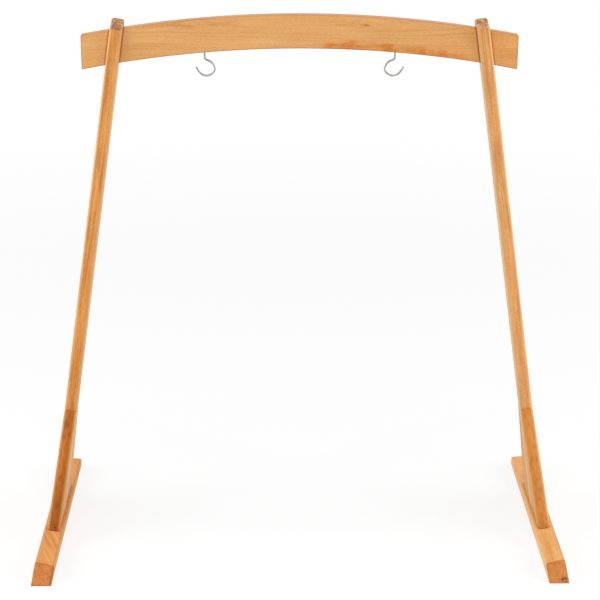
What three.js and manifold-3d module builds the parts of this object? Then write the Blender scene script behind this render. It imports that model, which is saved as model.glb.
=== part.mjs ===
// Gong stand in beech: an arched crossbar sits in the slotted tops of two leaning legs,
// and two steel screw hooks under it carry the gong.
// Millimetres, +Z up, +X to the right, +Y away from the viewer, origin on the floor
// in the middle between the feet.

import * as THREE from 'three';
import { mergeVertices } from 'three/addons/utils/BufferGeometryUtils.js';
import Module from 'manifold-3d';

const wasm = await Module();
wasm.setup();

// Whole stand
const STAND_HEIGHT = 1277; // floor to the crown of the crossbar
const HALF_STANCE = 606; // middle of the stand to the middle of a foot, on the floor
const LEG_LEAN = THREE.MathUtils.degToRad(8.58); // each leg leans in by this much
const FIT_GAP = 0.3; // clearance between pieces that touch
const OVERRUN = 8; // how far a cut runs past the wood
const ROUNDING_STEPS = 3; // flats across a rounded edge

// Crossbar: a plank sawn to two concentric arcs, ends plumb
const BAR_OVERHANG = 81.74; // from a post's line, at the crossbar's top edge, to the crossbar's end
const BAR_HEIGHT = 77;
const BAR_THICKNESS = 28;
const BAR_TOP_RADIUS = 2690;
const BAR_ROUNDING = 3;
const BAR_ARC_STEPS = 44;

// Posts: forked at the top, the fork's slot takes the crossbar
const POST_WIDTH = 29.5;
const POST_DEPTH = 50;
const POST_ROUNDING = 6;
const SLOT_WIDTH = 22;
const TOP_ARC_RADIUS = 50; // the post's top falls towards the front on this arc
const TOP_CREST_DEPTH = 40; // from the front face back to the arc's highest point
const TOP_ARC_STEPS = 10;

// Feet: level underneath, both ends sawn to a slope
const FOOT_LENGTH = 677;
const FOOT_WIDTH = 47;
const FOOT_THICKNESS = 39;
const FOOT_END_RUN = 41; // how far an end slopes back on its way up
const FOOT_ROUNDING = 6;

// Braces: one in front of and one behind each post
const BRACE_REACH = 107; // from the post's face to the toe
const BRACE_RISE = 278; // from the foot's top to the upper tip
const BRACE_TOE = 4; // height of the blunt toe
const BRACE_TIP = 2.5; // thickness of the blunt upper tip
const BRACE_ROUNDING = 6;

// Screw hooks
const HOOK_SPREAD = 437; // between the two shanks
const HOOK_WIRE_RADIUS = 2.2;
const HOOK_RING_RADIUS = 19.4; // to the middle of the wire
const HOOK_DROP = 36.5; // underside of the crossbar to the middle of the ring
const HOOK_NECK_REACH = 3.4; // the ring's middle lies this far in from the shank
const HOOK_SHANK_LENGTH = 30;
const HOOK_CORE_RADIUS = 1.6;
const HOOK_THREAD_PITCH = 2.5;
const HOOK_THREAD_TURNS = 9;
const HOOK_POINT_LENGTH = 4;
const WIRE_SIDES = 10;
const WIRE_STEPS = 44;

// Countersunk wood screws, driven up through the foot
const SCREW_HEAD_RADIUS = 5;
const SCREW_HEAD_RIM = 0.8;
const SCREW_HEAD_HEIGHT = 3.6;
const SCREW_RADIUS = 2.5;
const SCREW_CORE_RADIUS = 1.75;
const SCREW_PITCH = 3.2;
const SCREW_TURNS = 7;
const SCREW_POINT_LENGTH = 6;
const SCREW_RECESS = 2; // the head lies this far up inside the foot
const POST_SCREW_LENGTH = 90;
const POST_SCREW_SPACING = 26;
const BRACE_SCREW_LENGTH = 70;
const BRACE_SCREW_OFFSET = 38; // from the post's face
const ROUND_SIDES = 12;

// Dowels between brace and post
const DOWEL_RADIUS = 4;
const DOWEL_LENGTH = 40;
const DOWEL_CHAMFER = 1;
const DOWEL_HEIGHT = 120; // above the foot's top

// The crossbar's arcs share this centre, far below the floor
const ARC_CENTRE_Z = STAND_HEIGHT - BAR_TOP_RADIUS;
const BAR_UNDER_RADIUS = BAR_TOP_RADIUS - BAR_HEIGHT;

// Height along a post's own line at which that line meets the crossbar's top
function barTopAlongPost() {
  const half = HALF_STANCE * Math.sin(LEG_LEAN) + ARC_CENTRE_Z * Math.cos(LEG_LEAN);
  const rest = HALF_STANCE ** 2 + ARC_CENTRE_Z ** 2 - BAR_TOP_RADIUS ** 2;
  return half + Math.sqrt(half ** 2 - rest);
}
const POST_SHOULDER = barTopAlongPost();
const POST_TOP_X = HALF_STANCE - POST_SHOULDER * Math.sin(LEG_LEAN);

// Height of the crossbar's underside at a distance x from the middle
function barUndersideAt(x) {
  return ARC_CENTRE_Z + Math.sqrt(BAR_UNDER_RADIUS ** 2 - x ** 2);
}

// Materials
function finish(color, roughness, metalness = 0) {
  return new THREE.MeshStandardMaterial({ color, roughness, metalness });
}
const barBeech = finish(0xe0a870, 0.5);
const postBeech = finish(0xda9650, 0.5);
const footBeech = finish(0xde995a, 0.5);
const braceBeech = finish(0xc07038, 0.55);
const dowelBeech = finish(0xe6c79a, 0.7);
const zincSteel = finish(0xb4b4b0, 0.3, 1);
const screwSteel = finish(0xc8bc8c, 0.4, 1);

// Solids: a closed geometry becomes a manifold and back
function solidOf(geometry) {
  const bare = geometry.index ? geometry.toNonIndexed() : geometry.clone();
  bare.deleteAttribute('normal');
  bare.deleteAttribute('uv');
  const merged = mergeVertices(bare);
  const index = merged.index.array;
  const faces = [];
  for (let i = 0; i < index.length; i += 3) {
    const [a, b, c] = index.slice(i, i + 3);
    if (a !== b && b !== c && c !== a) {
      faces.push(a, b, c);
    }
  }
  return new wasm.Manifold(new wasm.Mesh({
    numProp: 3,
    vertProperties: new Float32Array(merged.attributes.position.array),
    triVerts: new Uint32Array(faces),
  }));
}

function geometryOf(solid) {
  const mesh = solid.getMesh();
  const geometry = new THREE.BufferGeometry();
  geometry.setAttribute('position', new THREE.BufferAttribute(mesh.vertProperties, 3));
  geometry.setIndex(new THREE.BufferAttribute(mesh.triVerts, 1));
  geometry.computeVertexNormals();
  return geometry;
}

function cutFrom(solid, tools) {
  return tools.reduce((left, tool) => left.subtract(solidOf(tool)), solid);
}

// A shape drawn in (y, z) and extruded across X, its long edges rounded
const SIDE_VIEW = new THREE.Matrix4().makeBasis(
  new THREE.Vector3(0, 1, 0), new THREE.Vector3(0, 0, 1), new THREE.Vector3(1, 0, 0));

// A shape drawn in (x, z) and extruded along Y
const FRONT_VIEW = new THREE.Matrix4().makeBasis(
  new THREE.Vector3(1, 0, 0), new THREE.Vector3(0, 0, 1), new THREE.Vector3(0, -1, 0));

function plank(shape, thickness, rounding, view, arcSteps = 2) {
  const geometry = new THREE.ExtrudeGeometry(shape, {
    depth: thickness - 2 * rounding,
    bevelEnabled: rounding > 0,
    bevelThickness: rounding,
    bevelSize: rounding,
    bevelOffset: -rounding,
    bevelSegments: ROUNDING_STEPS,
    curveSegments: arcSteps / 2,
  });
  geometry.translate(0, 0, rounding - thickness / 2);
  return geometry.applyMatrix4(view);
}

// A profile of [radius, height] points turned round the Z axis
function turned(profile, sides = ROUND_SIDES) {
  const points = profile.map(([radius, height]) => new THREE.Vector2(radius, height));
  return new THREE.LatheGeometry(points, sides).rotateX(Math.PI / 2);
}

function block(width, depth, height, x, y, z) {
  return new THREE.BoxGeometry(width, depth, height).translate(x, y, z);
}

// Threads are drawn as rings, from a start height upwards
function threadRings(coreRadius, threadRadius, start, pitch, turns) {
  const rings = [];
  for (let turn = 0; turn < turns; turn += 1) {
    rings.push([coreRadius, start + turn * pitch]);
    rings.push([threadRadius, start + (turn + 1 / 2) * pitch]);
  }
  rings.push([coreRadius, start + turns * pitch]);
  return rings;
}

// A leg's own frame: its line runs up along local Z, and the stand's outside lies
// on local X times the side
function legMatrix(side) {
  const lean = new THREE.Matrix4().makeRotationY(-side * LEG_LEAN);
  return lean.setPosition(side * HALF_STANCE, 0, 0);
}

const stand = new THREE.Group();

function addPiece(parent, name, solid, material) {
  const mesh = new THREE.Mesh(geometryOf(solid), material);
  mesh.name = name;
  parent.add(mesh);
  return mesh;
}

// Crossbar
function crossbarShape() {
  const half = POST_TOP_X + BAR_OVERHANG;
  const topAngle = Math.acos(half / BAR_TOP_RADIUS);
  const underAngle = Math.acos(half / BAR_UNDER_RADIUS);
  const shape = new THREE.Shape();
  shape.absarc(0, ARC_CENTRE_Z, BAR_TOP_RADIUS, topAngle, Math.PI - topAngle, false);
  shape.absarc(0, ARC_CENTRE_Z, BAR_UNDER_RADIUS, Math.PI - underAngle, underAngle, true);
  return shape;
}

// Shallow housings in both faces, in which a post's two cheeks slide
function housingTools(side) {
  const width = POST_WIDTH + 2 * FIT_GAP;
  const depth = BAR_THICKNESS;
  const height = 3 * BAR_HEIGHT; // runs past both arcs, however much the bar slopes here
  const neck = SLOT_WIDTH / 2 - FIT_GAP;
  return [-1, 1].map((face) => block(
    width, depth, height, 0, face * (neck + depth / 2), POST_SHOULDER - BAR_HEIGHT / 2,
  ).applyMatrix4(legMatrix(side)));
}

function hookHole(side) {
  const radius = HOOK_WIRE_RADIUS + FIT_GAP;
  const x = side * HOOK_SPREAD / 2;
  const top = HOOK_SHANK_LENGTH + FIT_GAP;
  return turned([[0, -OVERRUN], [radius, -OVERRUN], [radius, top], [0, top]])
    .translate(x, 0, barUndersideAt(x));
}

const crossbar = cutFrom(
  solidOf(plank(crossbarShape(), BAR_THICKNESS, BAR_ROUNDING, FRONT_VIEW, BAR_ARC_STEPS)),
  [...housingTools(-1), ...housingTools(1), hookHole(-1), hookHole(1)],
);
addPiece(stand, 'crossbar', crossbar, barBeech);

// Screw hooks: points of the bent wire in shares of the ring's radius, measured from
// the ring's middle, towards the stand's middle and up
const hookBendShares = [
  [-0.12, 1.02], [0.06, 0.88], [0.47, 0.72], [0.82, 0.37], [1, -0.05], [0.92, -0.46],
  [0.6, -0.8], [0.08, -0.99], [-0.45, -0.88], [-0.8, -0.58], [-1.17, -0.02],
];

function hookSolid(side) {
  const inward = -side;
  const neckShare = -HOOK_NECK_REACH / HOOK_RING_RADIUS;
  const neckTopShare = HOOK_DROP / HOOK_RING_RADIUS;
  const neckShares = [[neckShare, neckTopShare], [neckShare, (1 + neckTopShare) / 2]];
  const wirePoints = [...neckShares, ...hookBendShares].map(([across, up]) => new THREE.Vector3(
    inward * (HOOK_NECK_REACH + across * HOOK_RING_RADIUS), 0, up * HOOK_RING_RADIUS - HOOK_DROP));
  const section = new THREE.Shape();
  section.absarc(0, 0, HOOK_WIRE_RADIUS, 0, 2 * Math.PI, false);
  const wire = new THREE.ExtrudeGeometry(section, {
    steps: WIRE_STEPS,
    curveSegments: WIRE_SIDES / 2,
    extrudePath: new THREE.CatmullRomCurve3(wirePoints),
  });
  const tip = wirePoints[wirePoints.length - 1];
  const tipBall = new THREE.SphereGeometry(HOOK_WIRE_RADIUS, WIRE_SIDES, WIRE_SIDES / 2)
    .translate(tip.x, tip.y, tip.z);
  const threadStart = HOOK_SHANK_LENGTH - HOOK_POINT_LENGTH - HOOK_THREAD_TURNS * HOOK_THREAD_PITCH;
  const shank = turned([
    [0, -HOOK_WIRE_RADIUS],
    [HOOK_WIRE_RADIUS, -HOOK_WIRE_RADIUS],
    [HOOK_WIRE_RADIUS, threadStart - HOOK_THREAD_PITCH / 2],
    ...threadRings(HOOK_CORE_RADIUS, HOOK_WIRE_RADIUS, threadStart, HOOK_THREAD_PITCH, HOOK_THREAD_TURNS),
    [0, HOOK_SHANK_LENGTH],
  ], WIRE_SIDES);
  return solidOf(wire).add(solidOf(tipBall)).add(solidOf(shank));
}

for (const [side, word] of [[-1, 'left'], [1, 'right']]) {
  const x = side * HOOK_SPREAD / 2;
  const hook = addPiece(stand, `${word}_hook`, hookSolid(side), zincSteel);
  hook.position.set(x, 0, barUndersideAt(x));
}

// Screws and dowels, with the pockets that hold them
function screwSolid(length) {
  const threadStart = length - SCREW_POINT_LENGTH - SCREW_TURNS * SCREW_PITCH;
  return solidOf(turned([
    [0, 0],
    [SCREW_HEAD_RADIUS, 0],
    [SCREW_HEAD_RADIUS, SCREW_HEAD_RIM],
    [SCREW_RADIUS, SCREW_HEAD_HEIGHT],
    [SCREW_RADIUS, threadStart - SCREW_PITCH / 2],
    ...threadRings(SCREW_CORE_RADIUS, SCREW_RADIUS, threadStart, SCREW_PITCH, SCREW_TURNS),
    [0, length],
  ]));
}

function screwPocket(length, y) {
  const head = SCREW_HEAD_RADIUS + FIT_GAP;
  const shank = SCREW_RADIUS + FIT_GAP;
  return turned([
    [0, -SCREW_RECESS - OVERRUN],
    [head, -SCREW_RECESS - OVERRUN],
    [head, SCREW_HEAD_RIM],
    [shank, SCREW_HEAD_HEIGHT],
    [shank, length + FIT_GAP],
    [0, length + FIT_GAP],
  ]).translate(0, y, SCREW_RECESS);
}

function dowelSolid() {
  const half = DOWEL_LENGTH / 2;
  return solidOf(turned([
    [0, -half],
    [DOWEL_RADIUS - DOWEL_CHAMFER, -half],
    [DOWEL_RADIUS, DOWEL_CHAMFER - half],
    [DOWEL_RADIUS, half - DOWEL_CHAMFER],
    [DOWEL_RADIUS - DOWEL_CHAMFER, half],
    [0, half],
  ]).rotateX(Math.PI / 2));
}

function dowelPocket(face) {
  const radius = DOWEL_RADIUS + FIT_GAP;
  const half = DOWEL_LENGTH / 2 + FIT_GAP;
  return turned([[0, -half], [radius, -half], [radius, half], [0, half]])
    .rotateX(Math.PI / 2)
    .translate(0, face * POST_DEPTH / 2, FOOT_THICKNESS + DOWEL_HEIGHT);
}

const POST_SCREW_Y = POST_SCREW_SPACING / 2;
const BRACE_SCREW_Y = POST_DEPTH / 2 + BRACE_SCREW_OFFSET;

// Everything a leg's screws and dowels take out of the wood
function fastenerPockets() {
  return [-1, 1].flatMap((face) => [
    screwPocket(POST_SCREW_LENGTH, face * POST_SCREW_Y),
    screwPocket(BRACE_SCREW_LENGTH, face * BRACE_SCREW_Y),
    dowelPocket(face),
  ]);
}

// The foot's ends are sawn square to the stand, although the foot leans with its leg
function footEndTool(side, face) {
  const slope = Math.atan(FOOT_END_RUN / FOOT_THICKNESS);
  const size = 2 * (FOOT_THICKNESS + FOOT_END_RUN);
  return block(2 * FOOT_WIDTH, size, size, 0, face * size / 2, 0)
    .rotateX(face * slope)
    .translate(side * HALF_STANCE, face * FOOT_LENGTH / 2, 0)
    .applyMatrix4(legMatrix(side).invert());
}

// Foot: a rounded board, longer and deeper than the foot, sawn at both ends and level underneath
function footSolid(side) {
  const below = FOOT_WIDTH * Math.tan(LEG_LEAN) / 2 + FOOT_ROUNDING;
  const beyond = FOOT_LENGTH / 2 + FOOT_ROUNDING + OVERRUN;
  const shape = new THREE.Shape([
    new THREE.Vector2(-beyond, -below),
    new THREE.Vector2(beyond, -below),
    new THREE.Vector2(beyond, FOOT_THICKNESS),
    new THREE.Vector2(-beyond, FOOT_THICKNESS),
  ]);
  const floor = block(
    2 * FOOT_WIDTH, 2 * (beyond + OVERRUN), FOOT_THICKNESS,
    side * HALF_STANCE, 0, -FOOT_THICKNESS / 2,
  ).applyMatrix4(legMatrix(side).invert());
  return cutFrom(
    solidOf(plank(shape, FOOT_WIDTH, FOOT_ROUNDING, SIDE_VIEW)),
    [floor, footEndTool(side, -1), footEndTool(side, 1), ...fastenerPockets()],
  );
}

// What stands on the foot is cut off square a fit's gap above it
function footClearance() {
  const depth = POST_DEPTH + 2 * (BRACE_REACH + OVERRUN);
  const height = FOOT_THICKNESS;
  return block(2 * POST_WIDTH, depth, height, 0, 0, FOOT_THICKNESS + FIT_GAP - height / 2);
}

// Post: its top falls to the front on an arc, and the slot follows the crossbar's arcs
function postShape() {
  const front = -POST_DEPTH / 2;
  const centreY = front + TOP_CREST_DEPTH;
  const centreZ = POST_SHOULDER - Math.sqrt(TOP_ARC_RADIUS ** 2 - TOP_CREST_DEPTH ** 2);
  const rearAngle = Math.acos((POST_DEPTH - TOP_CREST_DEPTH) / TOP_ARC_RADIUS);
  const frontAngle = Math.PI - Math.acos(TOP_CREST_DEPTH / TOP_ARC_RADIUS);
  const shape = new THREE.Shape();
  shape.moveTo(front, FOOT_THICKNESS - OVERRUN);
  shape.lineTo(-front, FOOT_THICKNESS - OVERRUN);
  shape.absarc(centreY, centreZ, TOP_ARC_RADIUS, rearAngle, frontAngle, false);
  return shape;
}

function slotTool(side) {
  const lineAngle = Math.PI / 2 - side * Math.asin(POST_TOP_X / BAR_TOP_RADIUS);
  const spread = 2 * POST_WIDTH / BAR_TOP_RADIUS;
  const seat = BAR_UNDER_RADIUS - FIT_GAP;
  const mouth = BAR_TOP_RADIUS + TOP_ARC_RADIUS;
  const shape = new THREE.Shape();
  shape.absarc(0, ARC_CENTRE_Z, mouth, lineAngle - spread, lineAngle + spread, false);
  shape.absarc(0, ARC_CENTRE_Z, seat, lineAngle + spread, lineAngle - spread, true);
  return plank(shape, SLOT_WIDTH, 0, FRONT_VIEW, TOP_ARC_STEPS)
    .applyMatrix4(legMatrix(side).invert());
}

function postSolid(side) {
  return cutFrom(
    solidOf(plank(postShape(), POST_WIDTH, POST_ROUNDING, SIDE_VIEW, TOP_ARC_STEPS)),
    [footClearance(), slotTool(side), ...fastenerPockets()],
  );
}

// Brace: a long wedge, blunt at toe and tip, against the post's front or rear face. The wedge
// starts inside post and foot, and the cuts there take away the rounded edges of that part
function braceSolid(face) {
  const postFace = POST_DEPTH / 2;
  const inside = BRACE_ROUNDING + OVERRUN;
  const shape = new THREE.Shape([
    [postFace - inside, FOOT_THICKNESS - inside],
    [postFace + BRACE_REACH, FOOT_THICKNESS - inside],
    [postFace + BRACE_REACH, FOOT_THICKNESS + BRACE_TOE],
    [postFace + BRACE_TIP, FOOT_THICKNESS + BRACE_RISE],
    [postFace - inside, FOOT_THICKNESS + BRACE_RISE],
  ].map(([out, up]) => new THREE.Vector2(face * out, up)));
  const postClearance = block(
    2 * POST_WIDTH, POST_DEPTH + 2 * FIT_GAP, 2 * (BRACE_RISE + FOOT_THICKNESS), 0, 0,
    FOOT_THICKNESS + BRACE_RISE / 2,
  );
  return cutFrom(
    solidOf(plank(shape, POST_WIDTH, BRACE_ROUNDING, SIDE_VIEW)),
    [footClearance(), postClearance, ...fastenerPockets()],
  );
}

// Legs
for (const [side, word] of [[-1, 'left'], [1, 'right']]) {
  const leg = new THREE.Group();
  leg.position.x = side * HALF_STANCE;
  leg.rotation.y = -side * LEG_LEAN;
  stand.add(leg);
  addPiece(leg, `${word}_foot`, footSolid(side), footBeech);
  addPiece(leg, `${word}_post`, postSolid(side), postBeech);
  for (const [face, place] of [[-1, 'front'], [1, 'rear']]) {
    addPiece(leg, `${word}_${place}_brace`, braceSolid(face), braceBeech);
    const postScrew = addPiece(
      leg, `${word}_${place}_post_screw`, screwSolid(POST_SCREW_LENGTH), screwSteel);
    postScrew.position.set(0, face * POST_SCREW_Y, SCREW_RECESS);
    const braceScrew = addPiece(
      leg, `${word}_${place}_brace_screw`, screwSolid(BRACE_SCREW_LENGTH), screwSteel);
    braceScrew.position.set(0, face * BRACE_SCREW_Y, SCREW_RECESS);
    const dowel = addPiece(leg, `${word}_${place}_dowel`, dowelSolid(), dowelBeech);
    dowel.position.set(0, face * POST_DEPTH / 2, FOOT_THICKNESS + DOWEL_HEIGHT);
  }
}

export default stand;
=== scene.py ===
import math

import bmesh
import bpy
from mathutils import Matrix, Vector


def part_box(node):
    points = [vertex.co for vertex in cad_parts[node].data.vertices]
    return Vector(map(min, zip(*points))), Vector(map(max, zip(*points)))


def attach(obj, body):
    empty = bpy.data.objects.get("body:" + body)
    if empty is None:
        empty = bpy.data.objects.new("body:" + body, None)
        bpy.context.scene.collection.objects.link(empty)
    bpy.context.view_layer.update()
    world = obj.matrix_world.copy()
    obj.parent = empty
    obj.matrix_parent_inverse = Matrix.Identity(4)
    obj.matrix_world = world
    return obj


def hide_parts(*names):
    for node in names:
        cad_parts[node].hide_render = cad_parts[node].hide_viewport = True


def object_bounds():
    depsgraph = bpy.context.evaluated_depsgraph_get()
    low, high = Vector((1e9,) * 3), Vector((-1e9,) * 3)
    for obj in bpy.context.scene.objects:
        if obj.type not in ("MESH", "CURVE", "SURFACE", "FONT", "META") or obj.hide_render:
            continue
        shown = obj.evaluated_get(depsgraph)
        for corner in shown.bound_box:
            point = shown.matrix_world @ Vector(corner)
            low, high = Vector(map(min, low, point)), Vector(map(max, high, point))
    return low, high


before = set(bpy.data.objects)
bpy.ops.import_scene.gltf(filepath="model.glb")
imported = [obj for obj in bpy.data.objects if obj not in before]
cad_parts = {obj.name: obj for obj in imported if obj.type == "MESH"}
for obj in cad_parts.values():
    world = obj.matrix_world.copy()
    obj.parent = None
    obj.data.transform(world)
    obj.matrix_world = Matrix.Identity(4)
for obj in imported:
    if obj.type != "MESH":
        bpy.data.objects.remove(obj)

cad_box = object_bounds()
SIDES = ((-1, "left"), (1, "right"))
FACES = ((-1, "front"), (1, "rear"))

# Feet
# Two long beech skids that the legs stand on. Each is planed square to its leaning leg, sawn level
# underneath and to a slope at both ends, and its long edges are rounded over with a router.

LEAN = math.radians(8.58)
STANCE = 0.606
FIT_GAP = 0.0003
OVERRUN = 0.008
FOOT_LENGTH = 0.677
FOOT_WIDTH = 0.047
FOOT_THICKNESS = 0.039
FOOT_END_RUN = 0.041
EDGE_ROUNDING = 0.006
CORNER_EASING = 0.0012
ROUNDING_STEPS = 6
CORNER_STEPS = 4
ROUND_SIDES = 32
CRISP_ANGLE = math.radians(34)
WELD_REACH = 1e-6
CUT_REACH = 1e-7

# Drawing planes: the first two coordinates of a drawing, then the way that the thickness lies
SIDE_VIEW = Matrix(((0, 0, 1), (1, 0, 0), (0, 1, 0))).to_4x4()
FRONT_VIEW = Matrix(((1, 0, 0), (0, 0, -1), (0, 1, 0))).to_4x4()


def leg_matrix(side):
    """A leg's own frame, upright along the leg, put in its place on the floor."""
    return Matrix.Translation((side * STANCE, 0, 0)) @ Matrix.Rotation(-side * LEAN, 4, "Y")


def leg_way(side, way):
    """A way in a leg's own frame, as it is in the room."""
    return leg_matrix(side).to_3x3() @ Vector(way)


def drawn_in(outline, inset, easing):
    """An outline moved inwards by the inset, with its corners eased to a small radius."""
    points = []
    for here in range(len(outline)):
        before, at, after = (Vector(outline[(here + n) % len(outline)]) for n in (-1, 0, 1))
        first, second = (Vector((way.y, -way.x)).normalized() for way in (at - before, after - at))
        mitre = (first + second) / (1 + first.dot(second))
        if not easing or first.angle(second) <= CRISP_ANGLE / 2:
            points.append(at - mitre * inset)
            continue
        corner = at - mitre * max(inset, easing)
        for step in range(CORNER_STEPS + 1):
            normal = first.lerp(second, step / CORNER_STEPS).normalized()
            points.append(corner + normal * max(easing - inset, 0))
    return points


def skin(form, rings):
    """Joins each ring of points to the next with faces."""
    for low, high in zip(rings, rings[1:]):
        for here in range(len(low)):
            form.faces.new((low[here - 1], low[here], high[here], high[here - 1]))


def planed(outline, thickness, view, rounding=0.0, easing=0.0):
    """A board sawn to an outline, drawn anticlockwise, with its long edges rounded over."""
    layers = []
    for step in range(ROUNDING_STEPS + 1 if rounding else 1):
        angle = math.pi / 2 * step / ROUNDING_STEPS
        depth = thickness / 2 - rounding * (1 - math.cos(angle))
        layers.append((depth, rounding * (1 - math.sin(angle))))
    layers = [(-depth, inset) for depth, inset in layers] + layers[::-1]
    board = bmesh.new()
    rings = []
    for depth, inset in layers:
        points = drawn_in(outline, inset, easing)
        rings.append([board.verts.new((across, up, depth)) for across, up in points])
    board.faces.new(reversed(rings[0]))
    board.faces.new(rings[-1])
    skin(board, rings)
    bmesh.ops.remove_doubles(board, verts=board.verts, dist=WELD_REACH)
    board.transform(view)
    return board


def saw_off(board, point, normal):
    """Saws away what lies beyond a plane, and closes the cut."""
    everything = board.verts[:] + board.edges[:] + board.faces[:]
    cut = bmesh.ops.bisect_plane(
        board, geom=everything, dist=CUT_REACH, plane_co=point, plane_no=normal, clear_outer=True)
    edges = [e for e in cut["geom_cut"] if isinstance(e, bmesh.types.BMEdge)]
    bmesh.ops.contextual_create(board, geom=edges)


def put(name, data):
    """Adds an object to the scene."""
    thing = bpy.data.objects.new(name, data)
    bpy.context.scene.collection.objects.link(thing)
    return thing


def made(board, name, matrix=Matrix.Identity(4)):
    """Turns a board into an object whose place is in its mesh."""
    mesh = bpy.data.meshes.new(name)
    board.transform(matrix)
    board.to_mesh(mesh)
    board.free()
    return put(name, mesh)


def settled(piece):
    """Applies a piece's modifiers to its mesh."""
    graph = bpy.context.evaluated_depsgraph_get()
    mesh = bpy.data.meshes.new_from_object(piece.evaluated_get(graph))
    piece.modifiers.clear()
    piece.data = mesh
    return piece


def bored(piece, cutters):
    """Takes the cutters out of a piece."""
    for cutter in cutters:
        cut = piece.modifiers.new("bored", "BOOLEAN")
        cut.object = cutter
        cut.solver = "EXACT"
    settled(piece)
    for cutter in cutters:
        bpy.data.objects.remove(cutter)
    return piece


def eased(piece, width):
    """Takes the sharpness off a piece's sawn edges."""
    ease = piece.modifiers.new("eased", "BEVEL")
    ease.width = width
    ease.segments = CORNER_STEPS
    ease.limit_method = "ANGLE"
    ease.angle_limit = CRISP_ANGLE
    return settled(piece)


def sanded(piece):
    """Shades a piece smoothly, but for its crisp edges."""
    piece.data.shade_smooth()
    piece.data.set_sharp_from_angle(angle=CRISP_ANGLE)
    weigh = piece.modifiers.new("weighed", "WEIGHTED_NORMAL")
    weigh.keep_sharp = True
    return settled(piece)


def turned(profile, sides=ROUND_SIDES):
    """A closed form turned round Z from a profile of (radius, height) points."""
    form = bmesh.new()
    rings = []
    for radius, height in profile:
        turns = [2 * math.pi * side / sides for side in range(sides)]
        places = [(radius * math.cos(turn), radius * math.sin(turn), height) for turn in turns]
        rings.append([form.verts.new(place) for place in places])
    skin(form, rings)
    form.faces.new(reversed(rings[0]))
    form.faces.new(rings[-1])
    bmesh.ops.recalc_face_normals(form, faces=form.faces)
    return form


SPOT_FADE = (0.55, 1.0)


class Wire:
    """A value on its way through a material. Arithmetic on it adds Math nodes."""

    def __init__(self, finish, socket):
        self.finish = finish
        self.socket = socket

    def math(self, operation, *others):
        """Adds a Math node on this value and others."""
        inputs = dict(enumerate((self, *others)))
        return self.finish.node("ShaderNodeMath", {"operation": operation}, inputs)

    def __add__(self, other):
        return self.math("ADD", other)

    def __sub__(self, other):
        return self.math("SUBTRACT", other)

    def __rsub__(self, other):
        return self.finish.node("ShaderNodeMath", {"operation": "SUBTRACT"}, {0: other, 1: self})

    def __mul__(self, other):
        return self.math("MULTIPLY", other)

    def __truediv__(self, other):
        return self.math("DIVIDE", other)

    __radd__ = __add__
    __rmul__ = __mul__

    def within(self, low, high):
        """0 below low, 1 above high, and a smooth step between."""
        inputs = {"Value": self, "From Min": low, "From Max": high}
        return self.finish.node("ShaderNodeMapRange", {"interpolation_type": "SMOOTHSTEP"}, inputs)


class Finish:
    """A material, or the world, built node by node."""

    def __init__(self, owner):
        owner.use_nodes = True
        self.owner = owner
        self.tree = owner.node_tree
        self.tree.nodes.clear()

    @property
    def place(self):
        """Where the surface is, on the whole object."""
        return self.node("ShaderNodeTexCoord", out="Object")

    def node(self, kind, settings=None, inputs=None, out=0):
        """Adds a node, with its settings and then the values or wires of its inputs."""
        node = self.tree.nodes.new(kind)
        for key, value in (settings or {}).items():
            setattr(node, key, value)
        for key, value in (inputs or {}).items():
            if isinstance(value, Wire):
                self.tree.links.new(value.socket, node.inputs[key])
            else:
                node.inputs[key].default_value = value
        return None if out is None else Wire(self, node.outputs[out])

    def vectors(self, operation, *values, out=0):
        """Adds a Vector Math node."""
        settings = {"operation": operation}
        return self.node("ShaderNodeVectorMath", settings, dict(enumerate(values)), out)

    def along(self, direction, start=0.0):
        """How far the surface lies along a direction, in metres."""
        return self.vectors("DOT_PRODUCT", self.place, direction, out="Value") - start

    def facing(self, direction):
        """How squarely the surface faces a direction, 1 when fully."""
        normal = self.node("ShaderNodeTexCoord", out="Normal")
        return self.vectors("DOT_PRODUCT", normal, direction, out="Value")

    def vector(self, x, y, z):
        """Three values as one vector."""
        return self.node("ShaderNodeCombineXYZ", None, {"X": x, "Y": y, "Z": z})

    def noise(self, where, detail=2.0, roughness=0.5):
        """Soft noise about 0.5, one cell for each unit of the place given."""
        inputs = {"Vector": where, "Scale": 1.0, "Detail": detail, "Roughness": roughness}
        return self.node("ShaderNodeTexNoise", None, inputs, "Fac")

    def spot(self, centre, reach):
        """1 inside an ellipsoid about a centre, fading to 0 outside it."""
        off = self.vectors("DIVIDE", self.vectors("SUBTRACT", self.place, centre), reach)
        return 1 - self.vectors("LENGTH", off, out="Value").within(*SPOT_FADE)

    def blend(self, share, first, second, kind="MIX"):
        """The first colour, mixed with the second or multiplied by it, by a share."""
        settings = {"data_type": "RGBA", "blend_type": kind}
        inputs = {"Factor": share, 6: first, 7: second}
        return self.node("ShaderNodeMix", settings, inputs, 2)

    def surface(self, inputs):
        """Ends the tree in one principled surface."""
        shader = self.node("ShaderNodeBsdfPrincipled", None, inputs)
        self.node("ShaderNodeOutputMaterial", None, {"Surface": shader}, None)
        return self.owner


def paint(red, green, blue):
    """A colour as a screen shows it, from 0 to 255, made linear."""
    shares = [value / 255 for value in (red, green, blue)]
    return (*[s / 12.92 if s <= 0.04045 else ((s + 0.055) / 1.055) ** 2.4 for s in shares], 1)


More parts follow.
